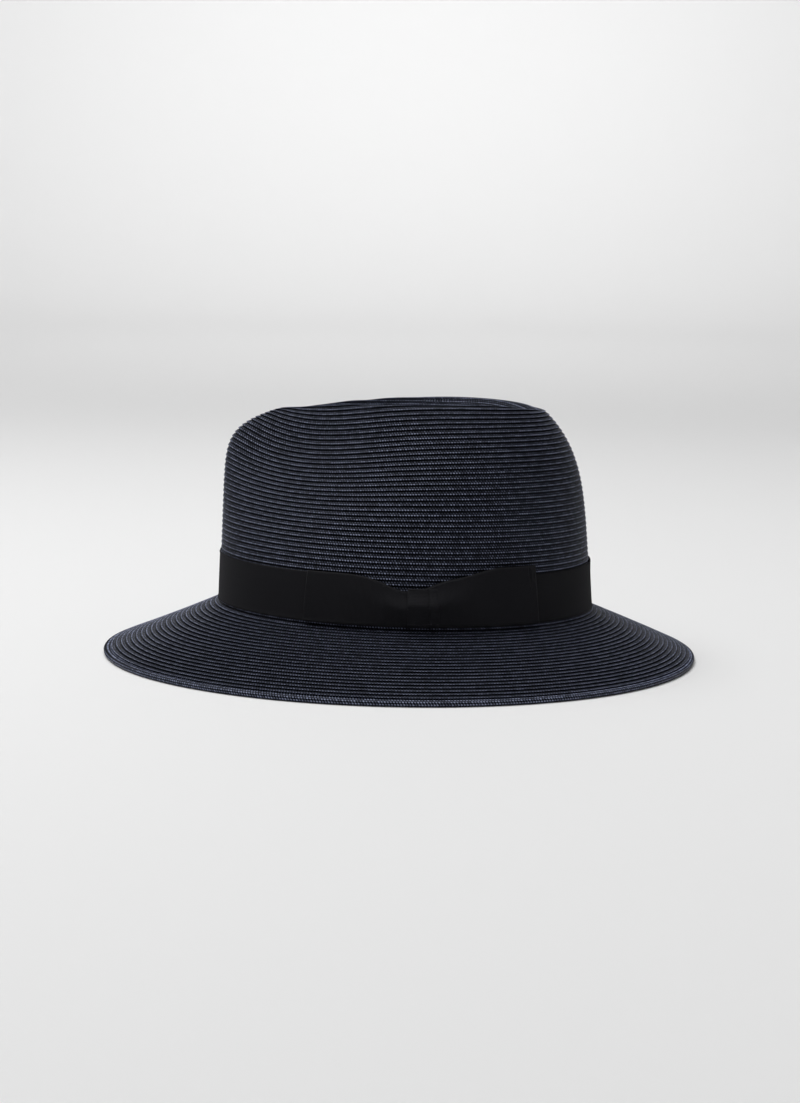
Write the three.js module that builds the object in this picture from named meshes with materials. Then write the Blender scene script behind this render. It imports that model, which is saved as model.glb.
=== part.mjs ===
// A fedora sewn from one long braid, with a grosgrain band, a flat bow and an inner sweatband.
// Millimetres, +Z up. The brim's edge rests on z = 0, the hat's front faces -Y,
// and the bow is on the wearer's left, at +X.
//
// Every piece starts as a flat pattern, a disc, a ring or a strip, measured along the hat's
// surface (s, down from the middle of the tip) and outwards from it (n). Like cloth on a
// hat block, the pattern is then laid on the hat's form.
import * as THREE from 'three';

// ---- Driving dimensions -------------------------------------------------------------------
const HEAD_RADIUS = 86;         // half the crown's width at its base
const HEAD_STRAIGHT = 16;       // how much longer than wide each half of the crown is
const CROWN_OFFSET = 4;         // the crown's centre, behind the brim's centre
const BREAK_HEIGHT = 28.3;      // brim break above the resting plane
const BACK_TILT = -0.01;        // rise of the crown per mm towards the back
const SIDE_TILT = 0.03;         // rise of the ridge per mm towards the wearer's left
const BREAK_RADIUS = 3;         // softness of the turn from crown to brim

// The ridge round the teardrop crease: its radius, and its height above the break.
const RIDGE_RADIUS = { front: 52.5, side: 53.3, back: 57.2 };
const RIDGE_RISE = { front: 105, side: 112.6, back: 108.4 };
const RIDGE_CORNER = 5.3;       // how late the sides' ridge turns into the front's and back's
const RIDGE_ROUND = 2;          // softness of the fold along the ridge
const WALL_CURVE = { front: 12.6, side: 3.34, back: 5.5 };  // how late the wall turns to the ridge
const WALL_LEAN = { front: 0.032, side: 0.175, back: 0.095 };
const FLOOR_RISE = 85;          // bottom of the crease above the break
const FLOOR_CURVE = 2;

// The pinch narrows the front of the crown and draws the ridges down to it.
const PINCH = { inward: 0.66, down: 4.5, centre: -75, spread: 65, height: 100, tall: 43.3 };

const BRIM_WIDTH = { front: 63.6, side: 59.8, back: 57.6 };
const BRIM_CURVE = 2.2;         // power of the brim's late droop
const BRIM_EVEN = { front: 1.1, side: 0.87, back: 0.96 };  // share of the drop that is straight

const BRAID_PITCH = 2.8;        // one sewn row to the next
const WALL_PITCH = 2.79;        // the same on the crown's wall
const CROWN_ROWS = 66;
const BRIM_ROWS = 23.5;
const BRAID_THICK = 2.4;        // overlapped rows together
const S_BREAK = CROWN_ROWS * BRAID_PITCH;
const S_RIM = S_BREAK + BRIM_ROWS * BRAID_PITCH;
const S_SHOULDER = 26.5 * BRAID_PITCH;
const S_EDGE = S_RIM - 3.6;     // where the last row's fold starts

const GAP = 0.3;                // clearance between touching pieces
const EDGE_THICK = 3.6;         // last row, folded round the wire
const EDGE_WALL = 0.7;
const EDGE_LIFT = 2.6;          // form surface at the rim, above the resting plane
const WIRE_RADIUS = 0.5;
const WIRE_IN = 2.05;           // wire's centre, in from the rim
const SLEEVE_LENGTH = 16;

const BAND_WIDTH = 26;
const BAND_THICK = 0.8;
const BAND_FOOT = 0.5;          // band's lower edge above the break
const SWEAT_WIDTH = 32;
const SWEAT_THICK = 1.1;

const BOW_CENTRE = 0.084;       // angle of the knot, a little behind the crown's middle
const BOW_REACH = { front: 64.5, rear: 67.5 };  // knot's middle to a loop's end
const BOW_FLARE = { front: 0.8, rear: 5 };      // how far a loop stands above the band
const BOW_GATHER = 7.4;         // how far the bow pulls the band's top edge down
const BOW_GATHER_CENTRE = -7;   // where it is deepest, in front of the knot
const BOW_GATHER_SPREAD = 16;
const KNOT_WIDTH = 11.8;
const KNOT_FOLD_WIDTH = 4.2;
const LOOP_THICK = 1.9;
const KNOT_THICK = 1.1;
const KNOT_BULGE = 1.6;
const SIDE_ARC = 106;           // mm of crown per radian beside the bow

const SEGMENTS = 60;            // facets round the hat
const FULL_TURN = Math.PI * 2;
const FRONT = -Math.PI / 2;
const BACK = Math.PI / 2;
const RIGHT = Math.PI;

// ---- Finishes -----------------------------------------------------------------------------
const finish = (color, roughness, metalness = 0) =>
  new THREE.MeshStandardMaterial({ color, roughness, metalness });
const NAVY_BRAID = finish('#262a3c', 0.6);
const BLACK_RIBBON = finish('#131317', 0.75);
const BLACK_TWILL = finish('#17181d', 0.85);
const BLACK_THREAD = finish('#0d0d10', 0.7);
const SPRING_WIRE = finish('#9a9ca0', 0.35, 0.9);
const LABEL_SATIN = finish('#c9c7c0', 0.55);

// ---- The hat's form -----------------------------------------------------------------------
const { lerp, clamp, smoothstep } = THREE.MathUtils;
const bell = (distance, spread) => Math.exp(-((distance / spread) ** 2));
const frontToBack = (front, back, angle) => lerp(front, back, (1 + Math.sin(angle)) / 2);
const bySide = ({ front, side, back }, angle, corner = 2) =>
  lerp(side, frontToBack(front, back, angle), Math.abs(Math.sin(angle)) ** corner);

// The oval at a given radius: a long slot in the middle of the tip, a head oval lower down.
function oval(radius, angle) {
  const sine = Math.sin(angle);
  const slot = Math.tanh(3 * sine) / Math.tanh(3);
  const ends = lerp(sine, slot, Math.exp(-radius / 40)) * (1 - Math.exp(-radius / 6));
  return [radius * Math.cos(angle), radius * sine + HEAD_STRAIGHT * ends];
}

// A soft corner between two points of a section, as [radius, height] pairs.
function bend(start, corner, end, steps) {
  const vector = (point) => new THREE.Vector2(...point);
  const curve = new THREE.QuadraticBezierCurve(vector(start), vector(corner), vector(end));
  return curve.getPoints(steps).map((point) => [point.x, point.y]);
}

// The crown's and brim's section at one angle, as [radius, height above the break] points.
function section(angle) {
  const ridge = bySide(RIDGE_RADIUS, angle, RIDGE_CORNER);
  const top = bySide(RIDGE_RISE, angle, RIDGE_CORNER);
  const curve = bySide(WALL_CURVE, angle);
  const lean = bySide(WALL_LEAN, angle);
  const floor = (share) => [ridge * share, lerp(FLOOR_RISE, top, share ** FLOOR_CURVE)];
  const wall = (share) => [HEAD_RADIUS * (1 - lean * share)
    - (HEAD_RADIUS * (1 - lean) - ridge) * share ** curve, top * share];
  const inner = 1 - RIDGE_ROUND / ridge;
  const first = 1 - RIDGE_ROUND / top;
  const foot = BREAK_RADIUS / top;
  const points = [];
  const FLOOR_STEPS = 30;
  for (let i = 0; i < FLOOR_STEPS; i++) points.push(floor(inner * i / FLOOR_STEPS));
  const crest = points.length + 2;
  points.push(...bend(floor(inner), [ridge, top], wall(first), 4));
  const WALL_STEPS = 60;
  for (let i = 1; i < WALL_STEPS; i++) {
    points.push(wall(lerp(first, foot, (i / WALL_STEPS) ** 1.3)));
  }
  const width = bySide(BRIM_WIDTH, angle);
  const even = bySide(BRIM_EVEN, angle);
  const fall = breakHeight(angle) - EDGE_LIFT;
  const drop = (share) => fall * (even * share + (1 - even) * share ** BRIM_CURVE);
  const start = BREAK_RADIUS * 0.9;
  const middle = points.length + 3;
  points.push(...bend(wall(foot), [HEAD_RADIUS, 0], [HEAD_RADIUS + start, -drop(start / width)], 6));
  const BRIM_STEPS = 24;
  for (let i = 1; i <= BRIM_STEPS; i++) {
    const out = lerp(start, width, i / BRIM_STEPS);
    points.push([HEAD_RADIUS + out, -drop(out / width)]);
  }
  return { points, crest, middle };
}

function breakHeight(angle) {
  return BREAK_HEIGHT + BACK_TILT * (HEAD_RADIUS + HEAD_STRAIGHT) * Math.sin(angle);
}

// Narrows the front of the crown at a point, draws its ridge down, and tilts it sideways.
function pinch(point, rise) {
  const beside = bell(point.y - PINCH.centre, PINCH.spread);
  const high = bell(Math.max(PINCH.height - rise, 0), PINCH.tall);
  const down = PINCH.down * beside * smoothstep(rise, 40, 105)
    * smoothstep(Math.abs(point.x), 10, 38);
  point.z += SIDE_TILT * point.x * smoothstep(rise, 30, 100) - down;
  point.x *= 1 - PINCH.inward * beside * high;
  return point;
}

// One meridian in space, with the length along it, kept for reuse.
const meridians = new Map();
function meridian(angle) {
  const key = angle.toFixed(6);
  if (meridians.has(key)) return meridians.get(key);
  const { points, crest, middle } = section(angle);
  const line = points.map(([radius, rise]) => {
    const [x, y] = oval(radius, angle);
    const lift = radius <= HEAD_RADIUS ? BREAK_HEIGHT + BACK_TILT * y : breakHeight(angle);
    return pinch(new THREE.Vector3(x, y + CROWN_OFFSET, lift + rise), rise);
  });
  const lengths = [0];
  for (let i = 1; i < line.length; i++) {
    lengths.push(lengths[i - 1] + line[i].distanceTo(line[i - 1]));
  }
  const found = { line, lengths, crest: lengths[crest], crown: lengths[middle] };
  meridians.set(key, found);
  return found;
}

// The form's surface at s. Rows are even up the wall and over the brim; the tip takes the rest.
function surface(s, angle) {
  const { line, lengths, crest, crown } = meridian(angle);
  const total = lengths[lengths.length - 1];
  const sCrest = S_BREAK - (crown - crest) * BRAID_PITCH / WALL_PITCH;
  const between = (low, high, first, last) => first + (last - first) * (s - low) / (high - low);
  let target = between(S_BREAK, S_RIM, crown, total);
  if (s <= S_BREAK) target = between(sCrest, S_BREAK, crest, crown);
  if (s <= sCrest) target = between(0, sCrest, 0, crest);
  let i = 1;
  while (i < lengths.length - 1 && lengths[i] < target) i++;
  const share = (target - lengths[i - 1]) / (lengths[i] - lengths[i - 1]);
  return line[i - 1].clone().lerp(line[i], share);
}

function formPoint(s, angle, n) {
  const STEP_S = 1.2;
  const STEP_ANGLE = 0.02;
  const low = clamp(s, 2 * STEP_S, S_RIM);
  const down = surface(low + STEP_S, angle).sub(surface(low - STEP_S, angle));
  const round = surface(low, angle + STEP_ANGLE).sub(surface(low, angle - STEP_ANGLE));
  const normal = s < 0.01 ? new THREE.Vector3(0, 0, 1) : down.cross(round).normalize();
  return surface(s, angle).addScaledVector(normal, n);
}

// ---- Laying patterns on the form ----------------------------------------------------------
// A disc or ring pattern: its closed profile is drawn as (s, n) and turned round the hat.
function layRing(outline, finishPoint = (point) => point) {
  const profile = [...outline].reverse();
  const geometry = new THREE.LatheGeometry(profile, SEGMENTS);
  const place = geometry.attributes.position;
  const columns = profile.length;
  for (let i = 0; i < place.count; i++) {
    const { x: s, y: n } = profile[i % columns];
    const angle = FULL_TURN * (Math.floor(i / columns) % SEGMENTS) / SEGMENTS;
    const point = finishPoint(formPoint(s, angle, n), s, n);
    place.setXYZ(i, point.x, point.y, point.z);
  }
  geometry.computeVertexNormals();
  return geometry;
}

// A strip pattern: u and v run from 0 to 1 along and down it, w from its inside to its outside.
function layStrip(columns, rows, place) {
  const geometry = new THREE.BoxGeometry(1, 1, 1, columns, rows, 1);
  const position = geometry.attributes.position;
  for (let i = 0; i < position.count; i++) {
    const u = position.getX(i) + 0.5;
    const v = 0.5 - position.getY(i);
    const { s, angle, n } = place(u, v, position.getZ(i) + 0.5);
    const point = formPoint(s, angle, n);
    position.setXYZ(i, point.x, point.y, point.z);
  }
  geometry.computeVertexNormals();
  return geometry;
}

// A wall of braid through the given places s, hanging BRAID_THICK inside the form.
function braidProfile(places) {
  const outside = places.map((s) => new THREE.Vector2(s, 0));
  const inside = places.map((s) => new THREE.Vector2(s, -BRAID_THICK)).reverse();
  const closing = places[0] > 0 ? [outside[0].clone()] : [];
  return [...outside, ...inside, ...closing];
}

const evenly = (from, to, steps) =>
  Array.from({ length: steps + 1 }, (_, i) => lerp(from, to, i / steps));

function piece(name, geometry, material) {
  const mesh = new THREE.Mesh(geometry, material);
  mesh.name = name;
  return mesh;
}

// ---- Braid --------------------------------------------------------------------------------
function crownTip() {
  return layRing(braidProfile(evenly(0, S_SHOULDER - GAP, 11)));
}

// The last steps are short, to follow the turn into the brim.
function crownSide() {
  const foot = [5, 3.2, 1.8, GAP].map((above) => S_BREAK - above);
  return layRing(braidProfile([...evenly(S_SHOULDER, S_BREAK - 12, 10), ...foot]));
}

function brim() {
  return layRing(braidProfile([S_BREAK, ...evenly(S_BREAK + 3, S_EDGE - GAP, 7)]));
}

// The last row is folded over the wire. Its sole, the flat that the hat rests on, is at z = 0.
function brimEdgeRow() {
  const inner = S_EDGE;
  const cavity = S_RIM - 0.9;
  const points = [
    [inner, 0], [S_RIM - 1, 0], [S_RIM - 0.2, -0.9], [S_RIM, -1.8], [S_RIM - 0.2, -2.7],
    [S_RIM - 0.9, -EDGE_THICK], [S_RIM - 2.4, -EDGE_THICK], [inner, -EDGE_THICK],
    [inner, EDGE_WALL - EDGE_THICK], [cavity, EDGE_WALL - EDGE_THICK],
    [cavity, -EDGE_WALL], [inner, -EDGE_WALL], [inner, 0],
  ];
  const sole = (point, s, n) => {
    if (n === -EDGE_THICK && s > inner) point.z = 0;
    return point;
  };
  return layRing(points.map(([s, n]) => new THREE.Vector2(s, n)), sole);
}

function wirePath(from, to, steps) {
  const points = [];
  for (let i = 0; i <= steps; i++) {
    points.push(formPoint(S_RIM - WIRE_IN, lerp(from, to, i / steps), -EDGE_THICK / 2));
  }
  return new THREE.CatmullRomCurve3(points);
}

function circle(radius) {
  const outline = new THREE.Shape();
  outline.absarc(0, 0, radius, 0, FULL_TURN);
  return outline;
}

const tubeOptions = (path, steps) =>
  ({ extrudePath: path, steps, curveSegments: 4, bevelEnabled: false });

// A spring wire runs all round the edge. Its ends meet at the back, inside a crimped sleeve.
function brimWire() {
  const HALF_JOINT = 0.003;
  const path = wirePath(BACK + HALF_JOINT, BACK + FULL_TURN - HALF_JOINT, 2 * SEGMENTS);
  return new THREE.ExtrudeGeometry(circle(WIRE_RADIUS), tubeOptions(path, 84));
}

function wireJoiner() {
  const half = SLEEVE_LENGTH / 2 / (HEAD_RADIUS + BRIM_WIDTH.back);
  const wall = circle(WIRE_RADIUS + 0.3);
  wall.holes.push(circle(WIRE_RADIUS + 0.12));
  const path = wirePath(BACK - half, BACK + half, 6);
  return new THREE.ExtrudeGeometry(wall, tubeOptions(path, 6));
}

// ---- Inside the crown ---------------------------------------------------------------------
const SWEAT_TOP = S_BREAK - SWEAT_WIDTH;
const SWEAT_OUTSIDE = -BRAID_THICK - 2 * GAP;
const SWEAT_INSIDE = SWEAT_OUTSIDE - SWEAT_THICK;

// The sweatband is a strip whose ends meet at the back.
function sweatband() {
  const HALF_JOINT = 0.004;
  return layStrip(SEGMENTS, 3, (u, v, w) => ({
    s: lerp(SWEAT_TOP, S_BREAK - 1, v),
    angle: lerp(BACK + HALF_JOINT, BACK + FULL_TURN - HALF_JOINT, u),
    n: lerp(SWEAT_INSIDE, SWEAT_OUTSIDE, w),
  }));
}

function insidePatch(angle, halfWidth, from, to, thick) {
  const outside = SWEAT_INSIDE - GAP;
  const half = halfWidth / HEAD_RADIUS;
  return layStrip(4, 2, (u, v, w) => ({
    s: lerp(from, to, v),
    angle: lerp(angle - half, angle + half, u),
    n: lerp(outside - thick, outside, w),
  }));
}

const sweatbandSeamTape = () => insidePatch(BACK, 6, SWEAT_TOP + 1, S_BREAK - 4, 0.5);
const sizeLabel = () => insidePatch(BACK - 0.25, 7, SWEAT_TOP + 8, S_BREAK - 12, 0.4);

// The row of stitches that holds the sweatband, laid as one thread round the break.
function sweatbandStitchRow() {
  const outside = SWEAT_INSIDE - GAP;
  const points = [
    [S_BREAK - 3, outside], [S_BREAK - 2.3, outside], [S_BREAK - 2.3, outside - 0.5],
    [S_BREAK - 3, outside - 0.5], [S_BREAK - 3, outside],
  ];
  return layRing(points.map(([s, n]) => new THREE.Vector2(s, n)));
}

// ---- Band and bow -------------------------------------------------------------------------
const BAND_BOTTOM = S_BREAK - BAND_FOOT;
const BAND_TOP = BAND_BOTTOM - BAND_WIDTH;
const BAND_OUTSIDE = GAP + BAND_THICK;
const LOOP_INSIDE = BAND_OUTSIDE + GAP;
const LOOP_OUTSIDE = LOOP_INSIDE + LOOP_THICK;
const KNOT_INSIDE = LOOP_OUTSIDE + GAP;

// The gathered top edge of the ribbon, at a distance along it from the knot's middle.
const gatheredTop = (along) =>
  BAND_TOP + BOW_GATHER * bell(along - BOW_GATHER_CENTRE, BOW_GATHER_SPREAD);
const besideBow = (along) => BOW_CENTRE + along / SIDE_ARC;

// The band is a strip whose ends meet under the knot.
function ribbonBand() {
  const HALF_JOINT = 0.4;
  const round = SIDE_ARC * FULL_TURN;
  return layStrip(SEGMENTS + 12, 3, (u, v, w) => {
    const along = lerp(HALF_JOINT, round - HALF_JOINT, u);
    const fromKnot = along < round / 2 ? along : along - round;
    return {
      s: lerp(gatheredTop(fromKnot), BAND_BOTTOM, v),
      angle: besideBow(along),
      n: lerp(GAP, BAND_OUTSIDE, w),
    };
  });
}

// A loop lies flat on the band, from the knot to its folded outer end, a little flared.
function bowLoop(end) {
  const side = end === 'rear' ? 1 : -1;
  const start = KNOT_WIDTH / 4;
  return layStrip(14, 3, (u, v, w) => {
    const along = lerp(start, BOW_REACH[end], side > 0 ? u : 1 - u);
    const flare = BOW_FLARE[end] * smoothstep(along, 14, 46);
    return {
      s: lerp(gatheredTop(side * along) + 0.4 - flare, BAND_BOTTOM + 0.3, v),
      angle: besideBow(side * along),
      n: lerp(LOOP_INSIDE, LOOP_OUTSIDE, w),
    };
  });
}

// The knot's wraps stand out most at their crease, above the middle of the band.
function knotWrap(from, to) {
  return layStrip(3, 4, (u, v, w) => {
    const along = lerp(from, to, u);
    const proud = KNOT_BULGE * bell(v - 0.4, 0.35);
    return {
      s: lerp(gatheredTop(0) + 0.2, BAND_BOTTOM + 0.6, v),
      angle: besideBow(along),
      n: lerp(KNOT_INSIDE, KNOT_INSIDE + KNOT_THICK + proud, w),
    };
  });
}

const KNOT_LEFT = -(KNOT_WIDTH + KNOT_FOLD_WIDTH) / 2;
const KNOT_SPLIT = KNOT_LEFT + KNOT_WIDTH;
const bowKnot = () => knotWrap(KNOT_LEFT, KNOT_SPLIT - GAP);
const bowKnotFold = () => knotWrap(KNOT_SPLIT, KNOT_SPLIT + KNOT_FOLD_WIDTH);

// A short bar of thread that holds an edge of ribbon.
function tack(angle, s, inside) {
  const TACK_LENGTH = 2.4;
  const TACK_THICK = 0.5;
  const half = TACK_LENGTH / 2 / HEAD_RADIUS;
  return layStrip(1, 1, (u, v, w) => ({
    s: s + TACK_THICK * (v - 0.5),
    angle: lerp(angle - half, angle + half, u),
    n: inside + TACK_THICK * w,
  }));
}

const bandTack = (angle) => tack(angle, BAND_TOP + 1.2, BAND_OUTSIDE + GAP);
const bowTack = (end, side) => tack(besideBow(side * (BOW_REACH[end] - 2)), BAND_TOP + 2.4,
  LOOP_OUTSIDE + GAP);

// ---- Assembly -----------------------------------------------------------------------------
const hat = new THREE.Group();
hat.add(
  piece('crown_tip', crownTip(), NAVY_BRAID),
  piece('crown_side', crownSide(), NAVY_BRAID),
  piece('brim', brim(), NAVY_BRAID),
  piece('brim_edge_row', brimEdgeRow(), NAVY_BRAID),
  piece('brim_wire', brimWire(), SPRING_WIRE),
  piece('wire_joiner', wireJoiner(), SPRING_WIRE),
  piece('sweatband', sweatband(), BLACK_TWILL),
  piece('sweatband_seam_tape', sweatbandSeamTape(), BLACK_RIBBON),
  piece('sweatband_stitch_row', sweatbandStitchRow(), BLACK_THREAD),
  piece('size_label', sizeLabel(), LABEL_SATIN),
  piece('ribbon_band', ribbonBand(), BLACK_RIBBON),
  piece('bow_front_loop', bowLoop('front'), BLACK_RIBBON),
  piece('bow_rear_loop', bowLoop('rear'), BLACK_RIBBON),
  piece('bow_knot', bowKnot(), BLACK_RIBBON),
  piece('bow_knot_fold', bowKnotFold(), BLACK_RIBBON),
  piece('band_tack_front', bandTack(FRONT), BLACK_THREAD),
  piece('band_tack_rear', bandTack(BACK), BLACK_THREAD),
  piece('band_tack_right', bandTack(RIGHT), BLACK_THREAD),
  piece('bow_tack_front', bowTack('front', -1), BLACK_THREAD),
  piece('bow_tack_rear', bowTack('rear', 1), BLACK_THREAD),
);

export default hat;
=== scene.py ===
"""A fedora sewn from navy paper braid, with a black grosgrain band, a flat bow and a sweatband.

Every piece starts as a flat pattern, measured down the hat's surface from the middle of the
tip (s), round the hat (angle) and outwards from the surface (n). The pattern is then laid on
the hat's form, as cloth is laid on a hat block. Lengths below are in millimetres until laid.
"""
import math

import bmesh
import bpy
import numpy as np
from mathutils import Matrix, Vector


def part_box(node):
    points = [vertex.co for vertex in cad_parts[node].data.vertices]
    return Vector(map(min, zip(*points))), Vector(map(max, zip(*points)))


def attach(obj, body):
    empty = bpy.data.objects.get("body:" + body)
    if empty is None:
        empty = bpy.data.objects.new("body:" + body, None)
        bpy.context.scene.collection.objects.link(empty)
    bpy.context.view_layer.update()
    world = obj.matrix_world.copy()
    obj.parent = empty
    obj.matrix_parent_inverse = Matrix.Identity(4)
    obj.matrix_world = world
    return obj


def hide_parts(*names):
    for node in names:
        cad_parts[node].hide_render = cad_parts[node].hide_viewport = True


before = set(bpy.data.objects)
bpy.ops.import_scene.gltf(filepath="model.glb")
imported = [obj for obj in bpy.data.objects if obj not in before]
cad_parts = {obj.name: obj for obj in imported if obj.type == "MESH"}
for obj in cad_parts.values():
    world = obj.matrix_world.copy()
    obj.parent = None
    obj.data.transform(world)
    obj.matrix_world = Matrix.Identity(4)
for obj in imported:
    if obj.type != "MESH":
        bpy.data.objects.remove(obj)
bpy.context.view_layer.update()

bl_info = {
    "name": "Braid Fedora",
    "version": (1, 0, 0),
    "blender": (4, 5, 0),
    "location": "View3D > Sidebar > Fedora",
    "description": "Builds a sewn-braid fedora, its ribbon, bow and sweatband, and a studio",
    "category": "Object",
}

MM = 0.001
TAU = 2 * math.pi
BACK = math.pi / 2

# ---- The hat's form, as in the frame ----------------------------------------------------
HEAD_RADIUS = 86.0
HEAD_STRAIGHT = 16.0
CROWN_OFFSET = 4.0
BREAK_HEIGHT = 28.3
BACK_TILT = -0.01
BREAK_RADIUS = 3.0
RIDGE_RADIUS = (52.5, 53.3, 57.2)  # front, side, back
RIDGE_RISE = (105.0, 112.6, 108.4)
RIDGE_CORNER = 5.3
RIDGE_ROUND = 2.0
WALL_CURVE = (12.6, 3.34, 5.5)
WALL_LEAN = (0.032, 0.175, 0.095)
FLOOR_RISE = 85.0
FLOOR_CURVE = 2.0
PINCH_IN = 0.66
PINCH_DOWN = 4.5
PINCH_CENTRE = -75.0
PINCH_SPREAD = 65.0
PINCH_HEIGHT = (100.0, 43.3)
SIDE_TILT = 0.03
BRIM_WIDTH = (63.6, 59.8, 57.6)
BRIM_EVEN = (1.1, 0.87, 0.96)
BRIM_CURVE = 2.2
EDGE_LIFT = 2.6

# ---- The braid --------------------------------------------------------------------------
PITCH = 2.8                       # one sewn row to the next
WALL_PITCH = 2.79                  # the same on the crown's wall
CROWN_ROWS = 66.0
BRIM_ROWS = 23.5
S_BREAK = CROWN_ROWS * PITCH
S_RIM = S_BREAK + BRIM_ROWS * PITCH
BRAID_WIDTH = 5.0
BRAID_THICK = 0.8
WALL = 2.4                        # overlapped rows together
PLAIT = 1.5                       # one plait of the braid's edge to the next
LAST_ROW_IN = 2.62                # lip of the last spiral row, in from the rim


def smoothstep(value, low, high):
    share = np.clip((value - low) / (high - low), 0.0, 1.0)
    return share * share * (3.0 - 2.0 * share)


def bell(distance, spread):
    return np.exp(-((distance / spread) ** 2))


def front_to_back(pair, angle):
    return pair[0] + (pair[1] - pair[0]) * (1.0 + np.sin(angle)) / 2.0


def by_side(triple, angle, corner=2.0):
    ends = front_to_back((triple[0], triple[2]), angle)
    return triple[1] + (ends - triple[1]) * np.abs(np.sin(angle)) ** corner


def bend(start, corner, end, share):
    """Points of a quadratic curve from start past a corner to end."""
    return (1 - share) ** 2 * start + 2 * share * (1 - share) * corner + share ** 2 * end


class HatForm:
    """The hat's outer surface as a fine net of points and normals, looked up at any place."""

    ANGLES = 720
    STEP = 0.5
    FLOOR_POINTS = 60
    WALL_POINTS = 90
    BRIM_POINTS = 60
    BEND_POINTS = 9

    def __init__(self):
        angle = np.linspace(0.0, TAU, self.ANGLES, endpoint=False)[:, None]
        radius, rise = self.section(angle)
        x, y = self.oval(radius, angle)
        lift = np.where(radius <= HEAD_RADIUS, BREAK_HEIGHT + BACK_TILT * y, self.break_height(angle))
        line = self.pinch(np.stack([x, y + CROWN_OFFSET, lift + rise], axis=-1), rise)
        self.place = self.sewn_rows(line)
        self.normal = self.normals(self.place)

    @staticmethod
    def break_height(angle):
        return BREAK_HEIGHT + BACK_TILT * (HEAD_RADIUS + HEAD_STRAIGHT) * np.sin(angle)

    @staticmethod
    def oval(radius, angle):
        """A long slot in the middle of the tip, a head oval lower down."""
        sine = np.sin(angle)
        slot = np.tanh(3 * sine) / math.tanh(3)
        ends = (sine + (slot - sine) * np.exp(-radius / 40)) * (1 - np.exp(-radius / 6))
        return radius * np.cos(angle), radius * sine + HEAD_STRAIGHT * ends

    def section(self, angle):
        """Radius and height above the break, from the tip to the rim, at every angle."""
        ridge = by_side(RIDGE_RADIUS, angle, RIDGE_CORNER)
        top = by_side(RIDGE_RISE, angle, RIDGE_CORNER)
        curve = by_side(WALL_CURVE, angle)
        lean = by_side(WALL_LEAN, angle)
        inner = (1 - RIDGE_ROUND / ridge) * np.linspace(0, 1, self.FLOOR_POINTS)[None, :]
        floor = FLOOR_RISE + (top - FLOOR_RISE) * inner ** FLOOR_CURVE
        first, foot = 1 - RIDGE_ROUND / top, BREAK_RADIUS / top
        share = first - (first - foot) * np.linspace(0, 1, self.WALL_POINTS)[None, :] ** 1.3
        out = HEAD_RADIUS * (1 - lean)
        wall = HEAD_RADIUS * (1 - lean * share) - (out - ridge) * share ** curve
        t = np.linspace(0, 1, self.BEND_POINTS)[None, 1:-1]
        over_r = bend(ridge * inner[:, -1:], ridge, wall[:, :1], t)
        over_z = bend(floor[:, -1:], top, top * first, t)
        width = by_side(BRIM_WIDTH, angle)
        even = by_side(BRIM_EVEN, angle)
        fall = self.break_height(angle) - EDGE_LIFT

        def drop(part):
            return fall * (even * part + (1 - even) * part ** BRIM_CURVE)

        start = BREAK_RADIUS * 0.9
        t = np.linspace(0, 1, self.BEND_POINTS)[None, 1:]
        bend_r = bend(wall[:, -1:], HEAD_RADIUS, HEAD_RADIUS + start, t)
        bend_z = bend(BREAK_RADIUS, 0.0, -drop(start / width), t)
        brim = start + (width - start) * np.linspace(0, 1, self.BRIM_POINTS)[None, 1:]
        half_bend = (self.BEND_POINTS - 2) // 2
        self.crest = self.FLOOR_POINTS + half_bend
        self.middle = self.FLOOR_POINTS + self.BEND_POINTS - 2 + self.WALL_POINTS + half_bend
        radius = np.concatenate([ridge * inner, over_r, wall, bend_r, HEAD_RADIUS + brim], axis=1)
        rise = np.concatenate([floor, over_z, top * share, bend_z, -drop(brim / width)], axis=1)
        return radius, rise

    @staticmethod
    def pinch(point, rise):
        """Narrows the front of the crown, as fingers pinch it, and draws its ridges down."""
        x, y = point[..., 0].copy(), point[..., 1]
        beside = bell(y - PINCH_CENTRE, PINCH_SPREAD)
        high = bell(np.maximum(PINCH_HEIGHT[0] - rise, 0), PINCH_HEIGHT[1])
        down = PINCH_DOWN * beside * smoothstep(rise, 40, 105) * smoothstep(np.abs(x), 10, 38)
        point[..., 2] += SIDE_TILT * x * smoothstep(rise, 30, 100) - down
        point[..., 0] = x * (1 - PINCH_IN * beside * high)
        return point

    def sewn_rows(self, line):
        """The net's points at even steps of s. Rows are even up the wall; the tip takes the rest."""
        steps = np.arange(0.0, S_RIM + self.STEP / 2, self.STEP)
        net = np.empty((len(line), len(steps), 3))
        for i, run in enumerate(line):
            length = np.concatenate([[0.0], np.cumsum(np.linalg.norm(np.diff(run, axis=0), axis=1))])
            crest, crown, total = length[self.crest], length[self.middle], length[-1]
            s_crest = S_BREAK - (crown - crest) * PITCH / WALL_PITCH
            target = np.interp(steps, [0.0, s_crest, S_BREAK, S_RIM], [0.0, crest, crown, total])
            for axis in range(3):
                net[i, :, axis] = np.interp(target, length, run[:, axis])
        return net

    @staticmethod
    def normals(net):
        down = np.gradient(net, axis=1)
        round_it = np.roll(net, -1, axis=0) - np.roll(net, 1, axis=0)
        normal = np.cross(down, round_it)
        normal /= np.linalg.norm(normal, axis=2, keepdims=True) + 1e-12
        # The points crowd together at the middle of the tip, so the normals start from one shared one.
        middle = normal[:, 6].mean(axis=0)
        ease = smoothstep(np.arange(net.shape[1]), 0, 12)[None, :, None]
        normal = middle + (normal - middle) * ease
        return normal / np.linalg.norm(normal, axis=2, keepdims=True)

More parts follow.
